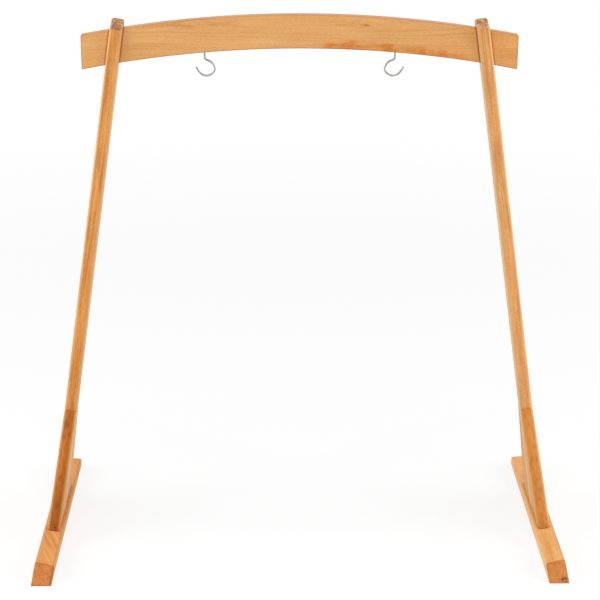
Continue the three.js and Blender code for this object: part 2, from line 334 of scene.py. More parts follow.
# Beech shows soft growth rings, short dark flecks where rays come to the surface, a fine even
# fibre and darker end grain. Widths and lengths are in metres, and rates are waves per metre,
# across the grain and along it.
RING_WIDTH = 0.0034
RAY_HEIGHT = 0.0026
RAY_WIDTH = 0.00042
RAY_DEPTH = 0.006
FIBRE_WIDTH = 0.00035
FIBRE_LENGTH = 0.022
MOTTLE_WIDTH = 0.0021
MOTTLE_LENGTH = 0.0062
STREAK_WIDTH = 0.0055
STREAK_LENGTH = 0.14
PORE_WIDTH = 0.0007
PORE_LENGTH = 0.004
SPECK_LENGTH = 0.016
SWAY_ACROSS = 9
SWAY_ALONG = 1.7
RIPPLE_ACROSS = 60
RIPPLE_ALONG = 11
CLOUDS_ACROSS = 30
CLOUDS_ALONG = 6
YEAR_STEP = 0.37
YEARS_ALONG = 3
WANDER = 0.015
LATE_SHARES = (0.3, 0.9, 1.0)
STRONG_YEARS = (0.3, 0.72)
RAY_CUTOFF = (0.6, 0.7)
SHADE_RANGE = (-0.25, 1.25)
BUTT_RANGE = (-0.1, 1.0)
BASE_SHADE = 0.35
FIBRE_SHADE = 0.5
RAY_SHADE = 0.3
PORE_SHADE = 0.4
LATE_SHADE = 0.5
SPECK_SHADE = 0.9
CLOUD_SHADE = 0.9
BASE_ROUGHNESS = 0.4
FIBRE_ROUGHNESS = 0.1
RAY_ROUGHNESS = 0.08
BUTT_ROUGHNESS = 0.16
FIBRE_RISE = 0.6
RAY_DROP = 0.5
LATE_DROP = 0.2
GRAIN_RELIEF = 0.00006
RELIEF_STRENGTH = 0.35
SATIN = 0.25
DULL = 0.08
OILED_WOOD_IOR = 1.4
OIL_ROUGHNESS = 0.3
SHEEN_TO_COAT = 6
# Painted light and shade on the sides of leg pieces: how far a face turns sideways, and how strongly
SIDE_LIGHT_TURN = (0.0, 0.36)
SIDE_LIGHT_SHARE = 0.5


def beech(name, colours, grain, across, middle, pith, rings=0.4, mottle=0.7, streaks=0.0,
          clouds=1.1, cut=(0.12, 0.75), speck=(0.0032, 0.0032), seed=0.0):
    """Beech in its light and dark colours, for long grain and then for end grain. grain is the way
    the fibres run, across a way square to it, middle a point on the board's middle line, pith how
    far off it the middle of the tree was, both ways across, cut how steeply a face has to cut the
    fibres to show end grain, and speck the size of its specks both ways across."""
    wood = Finish(bpy.data.materials.new(name))
    light, dark, end_light, end_dark = (paint(*colour) for colour in colours)
    grain, across, middle = Vector(grain), Vector(across), Vector(middle)
    other = grain.cross(across)
    length = wood.along(grain)
    u = wood.along(across, middle.dot(across) + pith[0])
    v = wood.along(other, middle.dot(other) + pith[1])

    sway_place = wood.vector(u * SWAY_ACROSS + seed, v * SWAY_ACROSS, length * SWAY_ALONG)
    sway = wood.noise(sway_place, detail=3.0, roughness=0.55) - 0.5
    ripple_place = wood.vector(u * RIPPLE_ACROSS, v * RIPPLE_ACROSS + seed, length * RIPPLE_ALONG)
    ripple = wood.noise(ripple_place) - 0.5
    radius = (u * u + v * v).math("SQRT") + sway * WANDER + ripple * RING_WIDTH
    ring = (radius / RING_WIDTH).math("FRACT")
    start, peak, end = LATE_SHARES
    late = ring.within(start, peak) * (1 - ring.within(peak, end))
    year = (radius / RING_WIDTH).math("FLOOR")
    year = wood.vector(year * YEAR_STEP, length * YEARS_ALONG, seed)
    late = late * wood.noise(year).within(*STRONG_YEARS)

    turn = v.math("ARCTAN2", u) * math.hypot(*pith)
    ray_place = wood.vector(radius / RAY_DEPTH, turn / RAY_WIDTH, length / RAY_HEIGHT)
    rays = wood.noise(ray_place, detail=1.0, roughness=0.4).within(*RAY_CUTOFF)

    fibre_place = wood.vector(u / FIBRE_WIDTH, v / FIBRE_WIDTH, length / FIBRE_LENGTH)
    fibres = wood.noise(fibre_place, detail=3.0, roughness=0.6)
    patch_place = wood.vector(u / MOTTLE_WIDTH, v / MOTTLE_WIDTH + seed, length / MOTTLE_LENGTH)
    patches = wood.noise(patch_place, roughness=0.6)
    cloud_place = wood.vector(u * CLOUDS_ACROSS + seed, v * CLOUDS_ACROSS, length * CLOUDS_ALONG)
    cloud = wood.noise(cloud_place, detail=3.0, roughness=0.6)
    streak_place = wood.vector(u / STREAK_WIDTH, v / STREAK_WIDTH + seed, length / STREAK_LENGTH)
    streak = (wood.noise(streak_place) - 0.5) * streaks
    cut_across = wood.facing(grain).math("ABSOLUTE").within(*cut)

    shade = (BASE_SHADE + late * rings + (fibres - 0.5) * FIBRE_SHADE + (cloud - 0.5) * clouds
             + (patches - 0.5) * mottle + streak)
    tone = wood.blend(shade.within(*SHADE_RANGE), light, dark)
    tone = wood.blend(rays * RAY_SHADE, tone, dark, "MULTIPLY")
    pore_place = wood.vector(u / PORE_WIDTH, v / PORE_WIDTH, length / PORE_LENGTH)
    pores = wood.noise(pore_place, roughness=0.7)
    speck_place = wood.vector(u / speck[0], v / speck[1], length / SPECK_LENGTH + seed)
    specks = wood.noise(speck_place, detail=3.0, roughness=0.6)
    butt_shade = (pores * PORE_SHADE + late * LATE_SHADE + (specks - 0.5) * SPECK_SHADE
                  + (cloud - 0.5) * CLOUD_SHADE + streak)
    butt = wood.blend(butt_shade.within(*BUTT_RANGE), end_light, end_dark)
    tone = wood.blend(cut_across, tone, butt)

    rough = (BASE_ROUGHNESS + rays * RAY_ROUGHNESS + cut_across * BUTT_ROUGHNESS
             + (fibres - 0.5) * FIBRE_ROUGHNESS)
    height = fibres * FIBRE_RISE - rays * RAY_DROP - late * LATE_DROP
    relief = wood.node("ShaderNodeBump", None, {
        "Strength": RELIEF_STRENGTH, "Distance": GRAIN_RELIEF, "Height": height})
    return wood, tone, rough, relief


def oiled(wood, tone, rough, relief, sheen=SATIN):
    """Ends a wood in a thin coat of oil, a faint shine over the bare grain."""
    return wood.surface({
        "Base Color": tone, "Roughness": rough, "Normal": relief, "IOR": OILED_WOOD_IOR,
        "Specular IOR Level": sheen, "Coat Weight": sheen / SHEEN_TO_COAT,
        "Coat Roughness": OIL_ROUGHNESS,
    })


def from_leg(wood, side, way, height=0.0):
    """How far the surface lies along a way in a leg's frame, from a height above its foot point."""
    direction = leg_way(side, way)
    return wood.along(direction, direction.dot((side * STANCE, 0, height)))


def painted_side_light(wood, tone, side, outer, inner):
    """Paints light and shade into a leg piece's rounded edges and flat sides, by the way they face
    across the leg.
    """
    for way, colour in ((side, outer), (-side, inner)):
        facing = wood.facing(leg_way(side, (way, 0, 0))).within(*SIDE_LIGHT_TURN)
        tone = wood.blend(facing * SIDE_LIGHT_SHARE, tone, paint(*colour))
    return tone


def dress(piece, material, slot, body, *nodes):
    """Gives a finished piece its material and its body, in place of the frame's plain nodes."""
    piece.data.materials.clear()
    piece.data.materials.append(material)
    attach(piece, body)
    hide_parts(*nodes)


FOOT_COLOURS = {
    "left": ((236, 172, 106), (192, 118, 58), (208, 126, 62), (156, 86, 38)),
    "right": ((240, 188, 120), (200, 132, 68), (213, 134, 68), (159, 91, 41)),
}
# Painted light and shade on each foot's outer and inner sides
FOOT_SIDE_LIGHT = {
    "left": ((188, 150, 108), (186, 132, 56)),
    "right": ((176, 140, 96), (236, 188, 122)),
}
FOOT_GRAINS = {"left": (-0.38, 1, 0), "right": (0, 1, 0)}
FOOT_RINGS = {"left": 0.6, "right": 0.3}
FOOT_PITH = (0.02, -0.045)
FOOT_BUTT_TURN = (0.36, 0.66)
END_TURN = (0.25, 0.6)
RIM_REACH = (-0.0035, -0.0005)
# A painted contact shadow along the bottom of each foot end
LOW_SHADE_REACH = (0.0006, 0.0034)
LOW_SHADE_SHARE = 0.5
RIM_AND_SHADE_COLOUR = (146, 86, 42)
SIDE_RIMS = {"left": 0.65, "right": 0.3}
TOP_RIMS = {"left": 0.4, "right": 0.05}
REAR_TINTS = {"left": (254, 251, 243), "right": (254, 243, 246)}
REAR_REACH = (0.05, 0.2)
SMUDGE_PLACE = (0.0135, -0.334, 0.006)
SMUDGE_REACH = (0.011, 0.012, 0.008)
SMUDGE_COLOUR = (70, 58, 30)
SMUDGE_SHARE = 0.85
GRIT_RATE = 260
GRIT_CUTOFF = (0.35, 0.6)
AXES = ((1, 0, 0), (0, 1, 0), (0, 0, 1))

# Screws and dowels: how far off the leg's middle they stand, and their sizes
SCREW_PLACES = {"post": 0.013, "brace": 0.063}
SCREW_LENGTHS = {"post": 0.09, "brace": 0.07}
SCREW_RECESS = 0.002
SCREW_RADIUS = 0.0025
HEAD_RADIUS = 0.005
HEAD_RIM = 0.0008
HEAD_HEIGHT = 0.0036
POST_DEPTH = 0.05
DOWEL_RADIUS = 0.004
DOWEL_LENGTH = 0.04
DOWEL_HEIGHT = 0.12


def foot_board(side):
    """A rounded board, longer and deeper than the foot, sawn level and at both ends to a slope that
    is square to the stand, although the foot leans with its leg."""
    below = FOOT_WIDTH * math.tan(LEAN) / 2 + EDGE_ROUNDING
    beyond = FOOT_LENGTH / 2 + EDGE_ROUNDING + OVERRUN
    outline = (
        (-beyond, -below), (beyond, -below), (beyond, FOOT_THICKNESS), (-beyond, FOOT_THICKNESS))
    board = planed(outline, FOOT_WIDTH, SIDE_VIEW, EDGE_ROUNDING)
    cuts = [((side * STANCE, 0, 0), (0, 0, -1))]
    for face, _ in FACES:
        end = (side * STANCE, face * FOOT_LENGTH / 2, 0)
        cuts.append((end, (0, face * FOOT_THICKNESS, FOOT_END_RUN)))
    to_leg = leg_matrix(side).inverted()
    for point, normal in cuts:
        saw_off(board, to_leg @ Vector(point), (to_leg.to_3x3() @ Vector(normal)).normalized())
    return board


def pockets(side):
    """Cutters for a leg's screw holes, countersunk from below, and its dowel holes."""
    head, shank = HEAD_RADIUS + FIT_GAP, SCREW_RADIUS + FIT_GAP
    for face, _ in FACES:
        for kind, y in SCREW_PLACES.items():
            hole = turned((
                (head, -OVERRUN), (head, HEAD_RIM), (shank, HEAD_HEIGHT),
                (shank, SCREW_LENGTHS[kind] + FIT_GAP),
            ))
            place = Matrix.Translation((0, face * y, SCREW_RECESS))
            yield made(hole, "screw_hole", leg_matrix(side) @ place)
        half = DOWEL_LENGTH / 2 + FIT_GAP
        hole = turned(((DOWEL_RADIUS + FIT_GAP, -half), (DOWEL_RADIUS + FIT_GAP, half)))
        yield made(hole, "dowel_hole", leg_matrix(side) @ dowel_place(face))


def dowel_place(face):
    """Where a dowel lies, half in the post and half in the brace."""
    place = Matrix.Translation((0, face * POST_DEPTH / 2, FOOT_THICKNESS + DOWEL_HEIGHT))
    return place @ Matrix.Rotation(math.pi / 2, 4, "X")


for side, word in SIDES:
    foot = eased(made(foot_board(side), f"{word}_skid", leg_matrix(side)), CORNER_EASING)
    bored(foot, list(pockets(side)))
    sanded(foot)
    grain = Vector(FOOT_GRAINS[word]).normalized()
    wood, tone, rough, relief = beech(
        f"{word}_foot_beech", FOOT_COLOURS[word], grain, grain.cross((0, 0, 1)),
        (side * STANCE, 0, FOOT_THICKNESS / 2), (FOOT_PITH[0] * side, FOOT_PITH[1]),
        rings=FOOT_RINGS[word], streaks=1.0, cut=FOOT_BUTT_TURN, seed=3 + side)
    # Painted light and shade on the foot's rounded edges and sides
    tone = painted_side_light(wood, tone, side, *FOOT_SIDE_LIGHT[word])
    rear = wood.along((0, 1, 0)).within(*REAR_REACH)
    tone = wood.blend(rear, tone, paint(*REAR_TINTS[word]), "MULTIPLY")
    middle = FOOT_THICKNESS / 2
    off_side = from_leg(wood, side, (1, 0, 0), middle).math("ABSOLUTE") - FOOT_WIDTH / 2
    off_top = from_leg(wood, side, (0, 0, 1), middle).math("ABSOLUTE") - FOOT_THICKNESS / 2
    at_end = wood.facing((0, 1, 0)).math("ABSOLUTE").within(*END_TURN)
    # Darker rims round each foot end, and a painted contact shadow along the bottom of the end
    side_rim = off_side.within(*RIM_REACH) * SIDE_RIMS[word]
    top_rim = off_top.within(*RIM_REACH) * TOP_RIMS[word]
    low_shade = (1 - wood.along((0, 0, 1)).within(*LOW_SHADE_REACH)) * LOW_SHADE_SHARE
    rim_and_shade = side_rim.math("MAXIMUM", top_rim.math("MAXIMUM", low_shade)) * at_end
    tone = wood.blend(rim_and_shade, tone, paint(*RIM_AND_SHADE_COLOUR))
    if side > 0:
        smudge = wood.spot(leg_matrix(side) @ Vector(SMUDGE_PLACE), SMUDGE_REACH)
        grit = wood.noise(wood.vector(*[wood.along(way) * GRIT_RATE for way in AXES]))
        smudge = smudge * grit.within(*GRIT_CUTOFF)
        tone = wood.blend(smudge * SMUDGE_SHARE, tone, paint(*SMUDGE_COLOUR))
    dress(foot, oiled(wood, tone, rough, relief, DULL), "foot_beech", f"{word}_leg", f"{word}_foot")


# Posts
# Two slender beech posts. The top is forked to take the crossbar, falls towards the front on an arc,
# and is rounded over like the long edges. The lower end stands on the foot and is screwed to it.

BAR_TOP_RADIUS = 2.69
BAR_HEIGHT = 0.077
POST_WIDTH = 0.0295
SLOT_WIDTH = 0.022
TOP_ARC_RADIUS = 0.05
TOP_CREST_DEPTH = 0.04
REAR_ROUNDING = 0.0065
REAR_ARC_STEPS = 8
TOP_ARC_STEPS = 28
SLOT_ARC_STEPS = 12
STAND_HEIGHT = cad_box[1][2]
ARC_CENTRE = STAND_HEIGHT - BAR_TOP_RADIUS
BAR_UNDER_RADIUS = BAR_TOP_RADIUS - BAR_HEIGHT
POST_COLOURS = {
    "left": ((242, 177, 98), (188, 114, 48), (189, 129, 84), (102, 60, 34)),
    "right": ((238, 180, 112), (190, 124, 66), (216, 160, 108), (128, 86, 54)),
}
# The fork's slot: a painted shade mixed with the paler colour of bare sawn wood, mottled between two
# tones
SAWN_AND_SHADED_COLOURS = {
    "left": ((170, 126, 90), (230, 200, 166)),
    "right": ((178, 126, 84), (232, 196, 152)),
}
SAWN_SHADE_DEPTH = (0.0114, 0.013)
SAWN_SHADE_DROP = 0.02
SAWN_SHADE_SHARE = 0.85
SAWN_MOTTLE_RATE = 170
SAWN_MOTTLE_CUTOFF = (0.36, 0.6)
POST_PITH = (0.02, 0.06)
# Painted light and shade on each post's outer and inner sides
POST_SIDE_LIGHT = ((206, 174, 122), (206, 174, 122))
BLUSH_TINT = (255, 234, 226)
BLUSH_RATE = 110
BLUSH_CUTOFF = (0.42, 0.62)
BLUSH_SHARE = 0.7
DEEP_REACH = (0.35, 1.0)
DEEP_TINTS = {"left": (244, 234, 216), "right": (255, 253, 248)}


def meets_arc(radius):
    """Height along a post's own line at which it meets an arc of the crossbar."""
    half = STANCE * math.sin(LEAN) + ARC_CENTRE * math.cos(LEAN)
    return half + math.sqrt(half ** 2 - STANCE ** 2 - ARC_CENTRE ** 2 + radius ** 2)


POST_SHOULDER = meets_arc(BAR_TOP_RADIUS)


def arc(centre, radius, start, end, steps):
    """Points on an arc, angles in radians."""
    angles = [start + (end - start) * step / steps for step in range(steps + 1)]
    return [(centre[0] + radius * math.cos(a), centre[1] + radius * math.sin(a)) for a in angles]


def post_outline():
    """A post from the side, its top a flat arc that falls to the front and is tight at the rear."""
    half = POST_DEPTH / 2
    top_y = TOP_CREST_DEPTH - half
    top_z = POST_SHOULDER - math.sqrt(TOP_ARC_RADIUS ** 2 - TOP_CREST_DEPTH ** 2)
    rear_y = half - REAR_ROUNDING
    rear_angle = math.acos((rear_y - top_y) / (TOP_ARC_RADIUS - REAR_ROUNDING))
    rear_z = top_z + (TOP_ARC_RADIUS - REAR_ROUNDING) * math.sin(rear_angle)
    front_angle = math.pi - math.acos(TOP_CREST_DEPTH / TOP_ARC_RADIUS)
    return (
        [(-half, FOOT_THICKNESS - OVERRUN), (half, FOOT_THICKNESS - OVERRUN)]
        + arc((rear_y, rear_z), REAR_ROUNDING, 0, rear_angle, REAR_ARC_STEPS)
        + arc((top_y, top_z), TOP_ARC_RADIUS, rear_angle, front_angle, TOP_ARC_STEPS)[1:]
    )


def slot_cutter(side):
    """What the fork leaves open: from the crossbar's underside up, past the post's top."""
    line = math.asin((STANCE - POST_SHOULDER * math.sin(LEAN)) / BAR_TOP_RADIUS)
    middle = math.pi / 2 - side * line
    spread = 2 * POST_WIDTH / BAR_TOP_RADIUS
    start, end = middle - spread, middle + spread
    centre = (0, ARC_CENTRE)
    seat = arc(centre, BAR_UNDER_RADIUS - FIT_GAP, start, end, SLOT_ARC_STEPS)
    mouth = arc(centre, BAR_TOP_RADIUS + TOP_ARC_RADIUS, end, start, SLOT_ARC_STEPS)
    return made(planed((seat + mouth)[::-1], SLOT_WIDTH, FRONT_VIEW), "slot")


for side, word in SIDES:
    board = planed(post_outline(), POST_WIDTH, SIDE_VIEW, EDGE_ROUNDING, CORNER_EASING)
    saw_off(board, (0, 0, FOOT_THICKNESS + FIT_GAP), (0, 0, -1))
    post = made(board, f"{word}_upright", leg_matrix(side))
    bored(post, [slot_cutter(side), *pockets(side)])
    sanded(post)
    up = leg_way(side, (0, 0, 1))
    wood, tone, rough, relief = beech(
        f"{word}_post_beech", POST_COLOURS[word], up, (0, 1, 0), (side * STANCE, 0, 0),
        (POST_PITH[0], POST_PITH[1] * side), rings=0.35, mottle=0.9, streaks=1.5, seed=11 + side)
    height = from_leg(wood, side, (0, 0, 1))
    across = [wood.along(way, side) * BLUSH_RATE for way in AXES[:2]]
    blush = wood.noise(wood.vector(*across, 0)).within(*BLUSH_CUTOFF)
    tone = wood.blend(blush * BLUSH_SHARE, tone, paint(*BLUSH_TINT), "MULTIPLY")
    deep = 1 - height.within(*DEEP_REACH)
    tone = wood.blend(deep, tone, paint(*DEEP_TINTS[word]), "MULTIPLY")
    # Painted light and shade on the post's rounded edges and sides
    tone = painted_side_light(wood, tone, side, *POST_SIDE_LIGHT)
    # Inside the fork's slot the wood takes a painted shade, mottled with the paler colour of bare sawn
    # wood
    off_middle = wood.along((0, 1, 0)).math("ABSOLUTE")
    sawn = height.within(POST_SHOULDER - SAWN_SHADE_DROP, POST_SHOULDER)
    sawn = (1 - off_middle.within(*SAWN_SHADE_DEPTH)) * sawn
    sawn_mottle = wood.vector(*[wood.along(way, 3 * side) * SAWN_MOTTLE_RATE for way in AXES])
    sawn_mottle = wood.noise(sawn_mottle).within(*SAWN_MOTTLE_CUTOFF)
    sawn_and_shaded = wood.blend(sawn_mottle, *[paint(*shade) for shade in SAWN_AND_SHADED_COLOURS[word]])
    tone = wood.blend(sawn * SAWN_SHADE_SHARE, tone, sawn_and_shaded)
    dress(post, oiled(wood, tone, rough, relief), "post_beech", f"{word}_leg", f"{word}_post")


# Braces
# Four beech wedges that stiffen the legs, one in front of and one behind each post. The grain runs
# up the wedge, so its slanted face cuts across the fibres and takes the oil darker. On the right leg
# the toes' corners are sanded round.

BRACE_REACH = 0.107
BRACE_RISE = 0.278
BRACE_TOE = 0.004
BRACE_TIP = 0.0025
BRACE_COLOURS = {
    "left": ((240, 184, 112), (192, 122, 58), (208, 124, 56), (134, 66, 24)),
    "right": ((232, 170, 98), (190, 124, 64), (220, 146, 74), (172, 100, 46)),
}
BRACE_PITH = (0.02, 0.05)
BRACE_BUTT_TURN = (0.12, 0.3)
BRACE_SPECK = (0.011, 0.0026)
# Dark heart streak colour, also used for the painted shadow along the toe
HEART_AND_SHADE_COLOUR = (150, 80, 30)
HEART_REACH = (-0.007, 0.007)
HEART_TURN = (0.6, 0.9)
HEART_SHARES = {"left": 0.5, "right": 0.15}
LOW_SHARES = {"left": 0.5, "right": 0.0}
# How dark the painted contact shadow along each brace's toe is
TOE_SHADE_SHARES = {"left": 0.5, "right": 0.2}
LOW_REACH = (0.04, 0.2)
# Painted light and shade on each brace's outer and inner sides
BRACE_SIDE_LIGHT = {
    "left": ((202, 156, 98), (212, 154, 82)),
    "right": ((208, 178, 128), (206, 142, 66)),
}
TOE_ROUNDINGS = {"left": 0.0, "right": 0.012}
TOE_STEPS = 8
TOE_SHADE_REACH = (0.002, 0.006)
DOT_PLACE = (0.003, -0.13, 0.0482)
DOT_REACH = (0.003, 0.004, 0.0025)
DOT_SHARE = 0.9


def brace_outline(face):
    """A brace from the side, running on into the post and the foot, where it is then sawn off."""
    near = POST_DEPTH / 2
    inside = EDGE_ROUNDING + OVERRUN
    points = (
        (near - inside, FOOT_THICKNESS - inside),
        (near + BRACE_REACH, FOOT_THICKNESS - inside),
        (near + BRACE_REACH, FOOT_THICKNESS + BRACE_TOE),
        (near + BRACE_TIP, FOOT_THICKNESS + BRACE_RISE),
        (near - inside, FOOT_THICKNESS + BRACE_RISE),
    )
    return [(face * out, up) for out, up in points][::face]


def round_toe(board, face, radius):
    """Sands the toe's two corners round, square to the wedge's slanted face."""
    toe = Vector((0, face * (POST_DEPTH / 2 + BRACE_REACH), FOOT_THICKNESS + FIT_GAP))
    slope = Vector((0, face * (BRACE_TIP - BRACE_REACH), BRACE_RISE - BRACE_TOE)).normalized()
    for way in (-1, 1):
        centre = toe + Vector((way * (POST_WIDTH / 2 - radius), 0, 0)) + slope * radius
        for step in range(1, TOE_STEPS):
            angle = math.pi / 2 * step / TOE_STEPS
            out = Vector((way * math.cos(angle), 0, 0)) - slope * math.sin(angle)
            saw_off(board, centre + out * radius, out)


for side, word in SIDES:
    up = leg_way(side, (0, 0, 1))
    for face, where in FACES:
        board = planed(brace_outline(face), POST_WIDTH, SIDE_VIEW, EDGE_ROUNDING, CORNER_EASING)
        if TOE_ROUNDINGS[word]:
            round_toe(board, face, TOE_ROUNDINGS[word])
        saw_off(board, (0, 0, FOOT_THICKNESS + FIT_GAP), (0, 0, -1))
        saw_off(board, (0, face * (POST_DEPTH / 2 + FIT_GAP), 0), (0, -face, 0))
        brace = made(board, f"{word}_{where}_wedge", leg_matrix(side))
        bored(brace, list(pockets(side)))
        sanded(brace)
        wood, tone, rough, relief = beech(
            f"{word}_{where}_brace_beech", BRACE_COLOURS[word], up, (0, 1, 0),
            (side * STANCE, face * POST_DEPTH, 0), (BRACE_PITH[0] * face, BRACE_PITH[1] * side),
            mottle=0.8, streaks=1.2, cut=BRACE_BUTT_TURN, speck=BRACE_SPECK,
            seed=21 + side + 2 * face)
        inner = from_leg(wood, side, (-side, 0, 0))
        heart = inner.within(*HEART_REACH) * wood.facing((0, face, 0)).within(*HEART_TURN)
        tone = wood.blend(heart * HEART_SHARES[word], tone, paint(*HEART_AND_SHADE_COLOUR))
        toe = from_leg(wood, side, (0, 0, 1)) - FOOT_THICKNESS
        low_part = (1 - toe.within(*LOW_REACH)) * LOW_SHARES[word]
        tone = wood.blend(low_part, tone, paint(*HEART_AND_SHADE_COLOUR))
        # Painted light and shade on the brace's rounded edges and sides
        tone = painted_side_light(wood, tone, side, *BRACE_SIDE_LIGHT[word])
        # A painted contact shadow along the toe, where the brace stands on the foot
        toe_shade = (1 - toe.within(*TOE_SHADE_REACH)) * TOE_SHADE_SHARES[word]
        tone = wood.blend(toe_shade, tone, paint(*HEART_AND_SHADE_COLOUR))
        if side < 0 and face < 0:
            dot = wood.spot(leg_matrix(side) @ Vector(DOT_PLACE), DOT_REACH)
            tone = wood.blend(dot * DOT_SHARE, tone, paint(*SMUDGE_COLOUR))
        dress(
            brace, oiled(wood, tone, rough, relief, DULL), "brace_beech", f"{word}_leg",
            f"{word}_{where}_brace")


# Crossbar
# A beech plank sawn to two concentric arcs with plumb ends, its edges rounded over. The grain runs
# straight from end to end. Shallow housings on both faces, leaning with the legs, locate the forks.

BAR_THICKNESS = 0.028
BAR_ROUNDING = 0.003
BAR_EASING = 0.002
BAR_HALF = -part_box("crossbar")[0][0]
BAR_STEPS = 160
BAR_COLOURS = ((242, 188, 123), (196, 126, 62), (206, 134, 70), (170, 104, 54))
BAR_PITH = (0.045, 0.02)
# A painted contact shadow on the bar's faces beside each post's prongs
CONTACT_SHADOW_COLOUR = (160, 84, 30)
CONTACT_SHADOW_REACH = (0.001, 0.0055)
CONTACT_SHADOW_SHARE = 0.75
WARM_END = (0.3, 0.46)
WARM_TINT = (255, 240, 214)
WARM_SHARE = 0.5
# Painted shade on the bar's top, underside and ends, by the way each faces
FACE_SHADES = {
    (0, 0, 1): (230, 220, 208), (0, 0, -1): (212, 200, 186),
    (1, 0, 0): (214, 200, 186), (-1, 0, 0): (214, 200, 186),
}
FACE_SHADE_TURN = (0.05, 0.6)

# An oil stain creeps up from the lower edge. Each blob has its place along the bar, its reach along
# it and its rise above the edge.
STAIN_COLOUR = (210, 120, 38)
STAIN_RATES = (42, 60, 110)
STAIN_CUTOFF = (0.15, 0.7)
STAIN_RISE = 0.004
STAIN_RAGGEDNESS = 0.028
STAIN_FADE = (-0.013, 0.007)
STAIN_START = (0.03, 0.09)
STAIN_END = (0.34, 0.42)
STAIN_SHARE = 0.8
STAIN_LIMIT = 0.95
STAIN_BLOBS = (
    (0.07, 0.02, 0.006), (0.118, 0.03, 0.01), (0.2, 0.024, 0.011), (0.274, 0.022, 0.008),
    (0.326, 0.016, 0.008),
)
BLOB_DEPTH = 0.02
BLOB_HEIGHT = 0.013
BLOB_SHARE = 0.4
KNOT_COLOUR = (120, 78, 44)
KNOT_X = 0.152
KNOT_DEPTH = 0.019
KNOT_REACH = (0.0075, 0.006, 0.0016)
KNOT_SHARE = 0.7
HALO_SHIFT = 0.004
HALO_DROP = 0.001
HALO_REACH = (0.018, 0.008, 0.005)
HALO_SHARE = 0.3
HOOK_SPREAD = 0.437
WIRE_RADIUS = 0.0022
SHANK_LENGTH = 0.03


def bar_outline():
    """The plank from the front, between its two arcs and its plumb ends."""
    top = math.acos(BAR_HALF / BAR_TOP_RADIUS)
    under = math.acos(BAR_HALF / BAR_UNDER_RADIUS)
    centre = (0, ARC_CENTRE)
    return (
        arc(centre, BAR_TOP_RADIUS, top, math.pi - top, BAR_STEPS)
        + arc(centre, BAR_UNDER_RADIUS, math.pi - under, under, BAR_STEPS)
    )


def housing_cutters(side):
    """Cutters for the shallow housings in which a fork's two prongs sit."""
    width = POST_WIDTH / 2 + FIT_GAP
    low, high = POST_SHOULDER - 2 * BAR_HEIGHT, POST_SHOULDER + BAR_HEIGHT
    outline = ((-width, low), (width, low), (width, high), (-width, high))
    for face, _ in FACES:
        middle = SLOT_WIDTH / 2 - FIT_GAP + BAR_THICKNESS / 2
        place = leg_matrix(side) @ Matrix.Translation((0, face * middle, 0))
        yield made(planed(outline, BAR_THICKNESS, FRONT_VIEW), "housing", place)


def bar_edge(radius, x):
    """Height of the bar's upper or lower edge, the arc of this radius."""
    return ARC_CENTRE + math.sqrt(radius ** 2 - x ** 2)


def hook_place(side):
    """A hook's own frame, with the bar's underside at its zero height."""
    x = side * HOOK_SPREAD / 2
    return Matrix.Translation((x, 0, bar_edge(BAR_UNDER_RADIUS, x)))


def hook_hole(side):
    """A cutter for the hole that a hook's shank is screwed into."""
    radius = WIRE_RADIUS + FIT_GAP
    hole = turned(((radius, -OVERRUN), (radius, SHANK_LENGTH + FIT_GAP)))
    return made(hole, "hook_hole", hook_place(side))


board = planed(bar_outline(), BAR_THICKNESS, FRONT_VIEW, BAR_ROUNDING, BAR_EASING)
bar = made(board, "arched_bar")
bored(bar, [*housing_cutters(-1), *housing_cutters(1), hook_hole(-1), hook_hole(1)])
sanded(bar)
wood, tone, rough, relief = beech(
    "bar_beech", BAR_COLOURS, (1, 0, 0), (0, 1, 0), (0, 0, STAND_HEIGHT - BAR_HEIGHT / 2),
    BAR_PITH, rings=0.28, streaks=0.3, clouds=0.6)
bar_x, bar_y = (wood.along(way) for way in AXES[:2])
bar_z = wood.along((0, 0, 1), ARC_CENTRE)
above_edge = (bar_x * bar_x + bar_z * bar_z).math("SQRT") - BAR_UNDER_RADIUS
stain_place = wood.vector(*[way * rate for way, rate in zip((bar_x, bar_y, bar_z), STAIN_RATES)])
mottle = wood.noise(stain_place, detail=3.0, roughness=0.65)
ragged = above_edge - (STAIN_RISE + mottle * STAIN_RAGGEDNESS)
soaked = mottle.within(*STAIN_CUTOFF)
stain = (1 - ragged.within(*STAIN_FADE)) * soaked
stain = stain * bar_x.within(*STAIN_START) * (1 - bar_x.within(*STAIN_END)) * STAIN_SHARE
front = -BAR_THICKNESS / 2
for blob_x, width, rise in STAIN_BLOBS:
    middle = (blob_x, front, bar_edge(BAR_UNDER_RADIUS, blob_x) + rise)
    stain = stain + wood.spot(middle, (width, BLOB_DEPTH, BLOB_HEIGHT)) * soaked * BLOB_SHARE
warm = bar_x.within(*WARM_END) * WARM_SHARE
tone = wood.blend(warm, tone, paint(*WARM_TINT), "MULTIPLY")
tone = wood.blend(stain.math("MINIMUM", STAIN_LIMIT), tone, paint(*STAIN_COLOUR))
# Painted shade on the bar's top, underside and ends
for way, face_shade in FACE_SHADES.items():
    tone = wood.blend(wood.facing(way).within(*FACE_SHADE_TURN), tone, paint(*face_shade), "MULTIPLY")
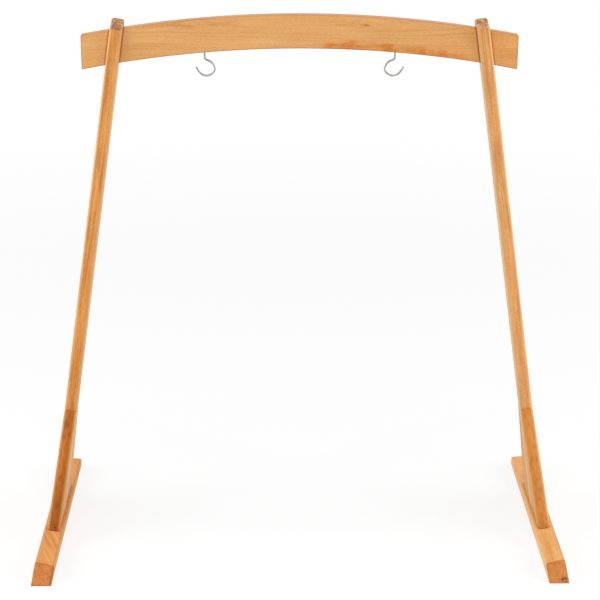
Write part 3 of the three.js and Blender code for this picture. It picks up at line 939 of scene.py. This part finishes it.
# A painted contact shadow beside each post's prongs, where they meet the bar
for side, _ in SIDES:
    off_line = from_leg(wood, side, (1, 0, 0)).math("ABSOLUTE")
    contact_shadow = 1 - (off_line - POST_WIDTH / 2).math("ABSOLUTE").within(*CONTACT_SHADOW_REACH)
    tone = wood.blend(contact_shadow * CONTACT_SHADOW_SHARE, tone, paint(*CONTACT_SHADOW_COLOUR))
knot_z = bar_edge(BAR_TOP_RADIUS, KNOT_X) - KNOT_DEPTH
halo = wood.spot((KNOT_X - HALO_SHIFT, front, knot_z - HALO_DROP), HALO_REACH)
knot = wood.spot((KNOT_X, front, knot_z), KNOT_REACH)
tone = wood.blend(halo * HALO_SHARE, tone, paint(*STAIN_COLOUR))
tone = wood.blend(knot * KNOT_SHARE, tone, paint(*KNOT_COLOUR))
dress(bar, oiled(wood, tone, rough, relief), "bar_beech", "bar", "crossbar")


# Screw hooks
# Two hooks of bright zinc plated steel wire. A thread holds the straight shank in the crossbar. Below
# it the wire steps sideways and bends round in a ring that stays open on the outer side.

RING_RADIUS = 0.0194
HOOK_DROP = 0.0365
NECK_REACH = 0.0034
THREAD_PITCH = 0.0025
THREAD_TURNS = 9
THREAD_STEP = 0.0005
POINT_LENGTH = 0.004
POINT_RADIUS = 0.0001
CORE_RADIUS = 0.0016
RIDGE_SHARE = 0.3
ROOT_SHARE = 0.9
WIRE_SIDES = 28
THREAD_SIDES = 24
ROUTE_STEPS = 14
TIP_STEPS = 5
TIP_RADIUS = 1e-5
ROUTE_CLOSENESS = 1e-6
BEND_SHARES = (
    (-0.12, 1.02), (0.06, 0.88), (0.47, 0.72), (0.82, 0.37), (1, -0.05), (0.92, -0.46),
    (0.6, -0.8), (0.08, -0.99), (-0.45, -0.88), (-0.8, -0.58), (-1.17, -0.02),
)
ZINC_TONES = ((147, 149, 145), (177, 178, 173))
ZINC_RATE = 160.0
ZINC_CUTOFF = (0.3, 0.7)
ZINC_ROUGHNESS = (0.34, 0.14)


def rounded_route(points, steps):
    """A smooth route through the points, with the spacing of each stretch taken into account."""
    ends = [2 * points[0] - points[1], *points, 2 * points[-1] - points[-2]]
    route = []
    for before, start, end, after in zip(ends, ends[1:], ends[2:], ends[3:]):
        stretches = ((before, start), (start, end), (end, after))
        first, own, last = (max((b - a).length ** 0.5, ROUTE_CLOSENESS) for a, b in stretches)
        leave = (start - before) / first - (end - before) / (first + own) + (end - start) / own
        arrive = (end - start) / own - (after - start) / (own + last) + (after - end) / last
        leave, arrive = leave * own, arrive * own
        for step in range(steps):
            t = step / steps
            route.append(
                start + leave * t + (3 * (end - start) - 2 * leave - arrive) * t ** 2
                + (2 * (start - end) + leave + arrive) * t ** 3)
    return [*route, points[-1]]


def swept(route, radii, sides, normal):
    """A closed tube along a flat route, with a radius at each of its points."""
    tube = bmesh.new()
    rings = []
    for here, point in enumerate(route):
        ahead = route[min(here + 1, len(route) - 1)] - route[max(here - 1, 0)]
        across = ahead.cross(normal).normalized()
        ring = []
        for side in range(sides):
            angle = 2 * math.pi * side / sides
            ring.append(tube.verts.new(
                point + radii[here] * (math.cos(angle) * across + math.sin(angle) * normal)))
        rings.append(ring)
    skin(tube, rings)
    tube.faces.new(rings[0])
    tube.faces.new(reversed(rings[-1]))
    bmesh.ops.recalc_face_normals(tube, faces=tube.faces)
    return tube


def thread(radius, core, pitch, turns, start, sides=THREAD_SIDES):
    """A ridge wound round a shank, as one closed strip."""
    ridge = bmesh.new()
    strip = []
    count = turns * sides
    for step in range(count + 1):
        angle = 2 * math.pi * step / sides
        height = start + pitch * step / sides
        rise = min(1, step / sides, (count - step) / sides)
        out = Vector((math.cos(angle), math.sin(angle), 0))
        up = Vector((0, 0, height))
        crest = out * (core + (radius - core) * rise) + up
        root = out * core * ROOT_SHARE + up
        half = Vector((0, 0, pitch * RIDGE_SHARE))
        strip.append([ridge.verts.new(corner) for corner in (root - half, crest, root + half)])
    skin(ridge, strip)
    ridge.faces.new(strip[0])
    ridge.faces.new(reversed(strip[-1]))
    bmesh.ops.recalc_face_normals(ridge, faces=ridge.faces)
    return ridge


def joined(name, parts, matrix):
    """Puts several closed forms into one piece."""
    whole = bmesh.new()
    for part in parts:
        scrap = bpy.data.meshes.new(name)
        part.to_mesh(scrap)
        part.free()
        whole.from_mesh(scrap)
        bpy.data.meshes.remove(scrap)
    return made(whole, name, matrix)


def hook_forms(side):
    """The wire, from the shank's point to the ring's open end, and the thread round its shank."""
    inward = -side
    share = 1 / RING_RADIUS
    neck_x, neck_top = -NECK_REACH * share, HOOK_DROP * share
    shares = ((neck_x, neck_top), (neck_x, (1 + neck_top) / 2), *BEND_SHARES)
    points = [
        Vector((inward * (NECK_REACH + across * RING_RADIUS), 0, up * RING_RADIUS - HOOK_DROP))
        for across, up in shares
    ]
    shank_end = SHANK_LENGTH - POINT_LENGTH
    thread_start = shank_end - THREAD_TURNS * THREAD_PITCH
    shank = {
        SHANK_LENGTH: POINT_RADIUS, shank_end: CORE_RADIUS, thread_start: CORE_RADIUS,
        thread_start - THREAD_STEP: WIRE_RADIUS,
    }
    bend = rounded_route(points, ROUTE_STEPS)
    route = [Vector((0, 0, height)) for height in shank] + bend
    radii = [*shank.values()] + [WIRE_RADIUS] * len(bend)
    tip, back = route[-1], (route[-1] - route[-2]).normalized()
    for step in range(1, TIP_STEPS + 1):
        angle = math.pi / 2 * step / TIP_STEPS
        route.append(tip + back * WIRE_RADIUS * math.sin(angle))
        radii.append(max(WIRE_RADIUS * math.cos(angle), TIP_RADIUS))
    wire = swept(route, radii, WIRE_SIDES, Vector((0, 1, 0)))
    return [wire, thread(WIRE_RADIUS, CORE_RADIUS, THREAD_PITCH, THREAD_TURNS, thread_start)]


def plated(name, tones, rate, cutoff, roughness):
    """A plated metal skin, clouded a little in tone and shine."""
    metal = Finish(bpy.data.materials.new(name))
    scaled = {0: metal.place, "Scale": rate}
    cloud_place = metal.node("ShaderNodeVectorMath", {"operation": "SCALE"}, scaled)
    cloud = metal.noise(cloud_place, detail=3.0, roughness=0.6)
    tone = metal.blend(cloud.within(*cutoff), *[paint(*shade) for shade in tones])
    rough = roughness[0] + cloud * roughness[1]
    return metal.surface({"Base Color": tone, "Metallic": 1.0, "Roughness": rough})


bright_zinc = plated("bright_zinc", ZINC_TONES, ZINC_RATE, ZINC_CUTOFF, ZINC_ROUGHNESS)
for side, word in SIDES:
    hook = joined(f"{word}_screw_hook", hook_forms(side), hook_place(side))
    sanded(hook)
    dress(hook, bright_zinc, "zinc_steel", f"{word}_screw_hook", f"{word}_hook")


# Screws
# Eight countersunk wood screws, four in each foot: two up into the post and one into each brace.
# They are yellow zinc plated steel with a cross recess, and only the heads show, from below.

SCREW_CORE = 0.00175
SCREW_PITCH = 0.0032
SCREW_POINT = 0.006
SCREW_TIP = 0.0001
THREAD_LENGTH = 0.0224
RECESS_SIZE = (0.0052, 0.0011, 0.0036)
RIDGE_SIDES = 4
YELLOW_TONES = ((214, 196, 132), (206, 172, 124))
YELLOW_RATE = 420.0
YELLOW_CUTOFF = (0.35, 0.65)
YELLOW_ROUGHNESS = (0.28, 0.12)


def screw_tree():
    """Geometry nodes that set a screw of these sizes on every point, leaning with its leg."""
    tree = bpy.data.node_groups.new("countersunk_screws", "GeometryNodeTree")
    tree.interface.new_socket("Geometry", in_out="OUTPUT", socket_type="NodeSocketGeometry")
    tree.interface.new_socket("Geometry", in_out="INPUT", socket_type="NodeSocketGeometry")
    sizes = {
        "Length": SCREW_LENGTHS["post"], "Radius": SCREW_RADIUS, "Core": SCREW_CORE,
        "Head radius": HEAD_RADIUS, "Head height": HEAD_HEIGHT, "Thread": THREAD_LENGTH,
        "Pitch": SCREW_PITCH, "Point": SCREW_POINT, "Lean": 0.0,
    }
    for name, size in sizes.items():
        socket = tree.interface.new_socket(name, in_out="INPUT", socket_type="NodeSocketFloat")
        socket.default_value = size
    tree.interface.new_socket("Metal", in_out="INPUT", socket_type="NodeSocketMaterial")
    given = tree.nodes.new("NodeGroupInput").outputs

    def add(kind, settings, inputs, out=0):
        """Adds a node, with its settings and then the values or links of its inputs."""
        node = tree.nodes.new(kind)
        for key, value in settings.items():
            setattr(node, key, value)
        for key, value in inputs.items():
            if isinstance(value, list):
                for link in value:
                    tree.links.new(link, node.inputs[key])
            elif isinstance(value, bpy.types.NodeSocket):
                tree.links.new(value, node.inputs[key])
            else:
                node.inputs[key].default_value = value
        return node.outputs[out]

    def less(first, second):
        """The first length less the second."""
        return add("ShaderNodeMath", {"operation": "SUBTRACT"}, {0: first, 1: second})

    def raised(form, height):
        """A form moved up along the screw."""
        shift = add("ShaderNodeCombineXYZ", {}, {"Z": height})
        return add("GeometryNodeTransform", {}, {"Geometry": form, "Translation": shift})

    def cone(lower, upper, depth):
        """A closed cone or cylinder that stands on the zero height."""
        return add("GeometryNodeMeshCone", {}, {
            "Vertices": ROUND_SIDES, "Radius Bottom": lower, "Radius Top": upper, "Depth": depth})

    bars = [
        add("GeometryNodeTransform", {}, {
            "Geometry": add("GeometryNodeMeshCube", {}, {"Size": RECESS_SIZE}),
            "Rotation": (0, 0, turn)})
        for turn in (math.pi / 4, -math.pi / 4)
    ]
    head = cone(given["Head radius"], given["Radius"], given["Head height"])
    head = add("GeometryNodeMeshBoolean", {"operation": "DIFFERENCE", "solver": "EXACT"}, {
        "Mesh 1": head, "Mesh 2": bars})
    body_length = less(given["Length"], given["Point"])
    thread_start = less(body_length, given["Thread"])
    plain_length = less(thread_start, given["Head height"])
    plain = raised(cone(given["Radius"], given["Radius"], plain_length), given["Head height"])
    core = raised(cone(given["Core"], given["Core"], given["Thread"]), thread_start)
    point = raised(cone(given["Core"], SCREW_TIP, given["Point"]), body_length)
    turns = add("ShaderNodeMath", {"operation": "DIVIDE"}, {0: given["Thread"], 1: given["Pitch"]})
    spiral = add("GeometryNodeCurveSpiral", {}, {
        "Resolution": THREAD_SIDES, "Rotations": turns,
        "Start Radius": given["Core"], "End Radius": given["Core"], "Height": given["Thread"]})
    spiral = add("GeometryNodeSetCurveNormal", {"mode": "Z_UP"}, {"Curve": spiral})
    ridge = less(given["Radius"], given["Core"])
    profile = add("GeometryNodeCurvePrimitiveCircle", {}, {"Resolution": RIDGE_SIDES, "Radius": ridge})
    thread_form = add("GeometryNodeCurveToMesh", {}, {
        "Curve": spiral, "Profile Curve": profile, "Fill Caps": True})
    body = add("GeometryNodeMeshBoolean", {"operation": "UNION", "solver": "EXACT"}, {
        "Mesh 2": [head, plain, core, point]})
    whole = add("GeometryNodeJoinGeometry", {}, {
        "Geometry": [body, raised(thread_form, thread_start)]})
    lean = add("ShaderNodeCombineXYZ", {}, {"Y": given["Lean"]})
    placed = add("GeometryNodeInstanceOnPoints", {}, {
        "Points": given["Geometry"], "Instance": whole, "Rotation": lean})
    plain_mesh = add("GeometryNodeRealizeInstances", {}, {"Geometry": placed})
    plated = add("GeometryNodeSetMaterial", {}, {"Geometry": plain_mesh, "Material": given["Metal"]})
    tree.links.new(plated, tree.nodes.new("NodeGroupOutput").inputs["Geometry"])
    return tree


def socket_of(tree, name):
    """The identifier of a tree's named input."""
    sockets = tree.interface.items_tree
    return next(s.identifier for s in sockets if s.name == name and s.in_out == "INPUT")


screws = screw_tree()
yellow_zinc = plated("yellow_zinc", YELLOW_TONES, YELLOW_RATE, YELLOW_CUTOFF, YELLOW_ROUGHNESS)
for side, word in SIDES:
    for kind, y in SCREW_PLACES.items():
        places = [leg_matrix(side) @ Vector((0, face * y, SCREW_RECESS)) for face, _ in FACES]
        points = bpy.data.meshes.new("screw_points")
        points.from_pydata(places, [], [])
        piece = put(f"{word}_{kind}_screws", points)
        nodes = piece.modifiers.new("screws", "NODES")
        nodes.node_group = screws
        nodes[socket_of(screws, "Length")] = SCREW_LENGTHS[kind]
        nodes[socket_of(screws, "Lean")] = -side * LEAN
        nodes[socket_of(screws, "Metal")] = yellow_zinc
        settled(piece)
        sanded(piece)
        dress(
            piece, yellow_zinc, "screw_steel", f"{word}_leg",
            *[f"{word}_{where}_{kind}_screw" for _, where in FACES])


# Dowels
# Four fluted beech dowels, glued half in a post and half in a brace. Nothing of them shows when the
# leg is whole, and they are left raw.

FLUTES = 16
FLUTE_DEPTH = 0.0003
DOWEL_CHAMFER = 0.001
DOWEL_PITH = (0.03, 0.02)
DOWEL_COLOURS = ((240, 216, 178), (206, 168, 120), (220, 186, 140), (180, 140, 96))


def dowel_outline():
    """A circle with a shallow flute between every two ribs."""
    points = []
    for step in range(4 * FLUTES):
        angle = math.pi * step / (2 * FLUTES)
        radius = DOWEL_RADIUS - FLUTE_DEPTH * (1 - math.cos(FLUTES * angle)) / 2
        points.append((radius * math.cos(angle), radius * math.sin(angle)))
    return points


for side, word in SIDES:
    for face, where in FACES:
        board = planed(dowel_outline(), DOWEL_LENGTH, Matrix.Identity(4), DOWEL_CHAMFER)
        dowel = made(board, f"{word}_{where}_fluted_dowel", leg_matrix(side) @ dowel_place(face))
        sanded(dowel)
        wood = beech(
            f"{word}_{where}_dowel_beech", DOWEL_COLOURS, (0, 1, 0), (1, 0, 0),
            (side * STANCE, 0, 0), (DOWEL_PITH[0], DOWEL_PITH[1] * face), seed=31 + side)
        dress(dowel, oiled(*wood), "dowel_beech", f"{word}_leg", f"{word}_{where}_dowel")


# Room and camera
# A white sweep lit by a large softbox on each side and one overhead. The camera stands in front of
# the stand, above the crossbar's height, and looks a little down.

FLOOR_HALF = 30.0
FLOOR_COLOUR = (0.92, 0.92, 0.92, 1)
WHITE = (1, 1, 1, 1)
SOFT_LIGHT = 0.4
WHITE_SHARE = 0.8
SWEEP_START = 1.2
SWEEP_END = 4.5
LAMPS = {
    "left_softbox": ((-3.4, -0.7, 1.8), (0, 0, 0.7), (2.2, 2.6), 88),
    "right_softbox": ((3.4, -0.7, 1.8), (0, 0, 0.7), (2.2, 2.6), 85),
    "top_softbox": ((0, -2.4, 8.0), (0, 0, 0.3), (4.5, 3.5), 200),
}
IMAGE_SIZE = 600
FOCAL_PIXELS = 1700
SENSOR = 36.0
VIEW_END = 100
CAMERA_PLACE = (-0.065, -3.873, 1.928)
CAMERA_YAW = math.radians(0.99)
CAMERA_PITCH = math.radians(19.09)
CAMERA_ROLL = math.radians(0.17)

floor_mesh = bpy.data.meshes.new("floor")
corners = ((-1, -1), (1, -1), (1, 1), (-1, 1))
floor_mesh.from_pydata([(x * FLOOR_HALF, y * FLOOR_HALF, 0) for x, y in corners], [], [(0, 1, 2, 3)])
floor = put("floor", floor_mesh)
pale = Finish(bpy.data.materials.new("pale_floor"))
seen = pale.node("ShaderNodeLightPath", out="Is Camera Ray")
seen = seen + pale.node("ShaderNodeLightPath", out="Is Glossy Ray")
lit = pale.node("ShaderNodeBsdfDiffuse", None, {"Color": FLOOR_COLOUR})
white = pale.node("ShaderNodeEmission", None, {"Color": WHITE, "Strength": 1.0})
far = pale.vectors("LENGTH", pale.place, out="Value")
share = WHITE_SHARE + (1 - WHITE_SHARE) * far.within(SWEEP_START, SWEEP_END)
mixed = pale.node("ShaderNodeMixShader", None, {0: seen * share, 1: lit, 2: white})
pale.node("ShaderNodeOutputMaterial", None, {"Surface": mixed}, None)
floor_mesh.materials.append(pale.owner)

studio = Finish(bpy.data.worlds.new("studio"))
seen = studio.node("ShaderNodeLightPath", out="Is Camera Ray")
shine = studio.node("ShaderNodeLightPath", out="Is Glossy Ray")
soft = studio.node("ShaderNodeBackground", None, {"Color": WHITE, "Strength": SOFT_LIGHT})
white = studio.node("ShaderNodeBackground", None, {"Color": WHITE, "Strength": 1.0})
mixed = studio.node("ShaderNodeMixShader", None, {0: seen + shine, 1: soft, 2: white})
studio.node("ShaderNodeOutputWorld", None, {"Surface": mixed}, None)
bpy.context.scene.world = studio.owner

for name, (place, aim, size, power) in LAMPS.items():
    box = bpy.data.lights.new(name, "AREA")
    box.shape = "RECTANGLE"
    box.size, box.size_y = size
    box.energy = power
    turn = (Vector(aim) - Vector(place)).to_track_quat("-Z", "Y").to_matrix().to_4x4()
    put(name, box).matrix_world = Matrix.Translation(place) @ turn

view = bpy.data.cameras.new("camera")
view.sensor_width = SENSOR
view.lens = FOCAL_PIXELS * SENSOR / IMAGE_SIZE
view.clip_end = VIEW_END
camera = put("camera", view)
camera.matrix_world = (
    Matrix.Translation(CAMERA_PLACE) @ Matrix.Rotation(-CAMERA_YAW, 4, "Z")
    @ Matrix.Rotation(math.pi / 2 - CAMERA_PITCH, 4, "X") @ Matrix.Rotation(CAMERA_ROLL, 4, "Z")
)
bpy.context.scene.camera = camera
bpy.context.scene.view_settings.view_transform = "Standard"
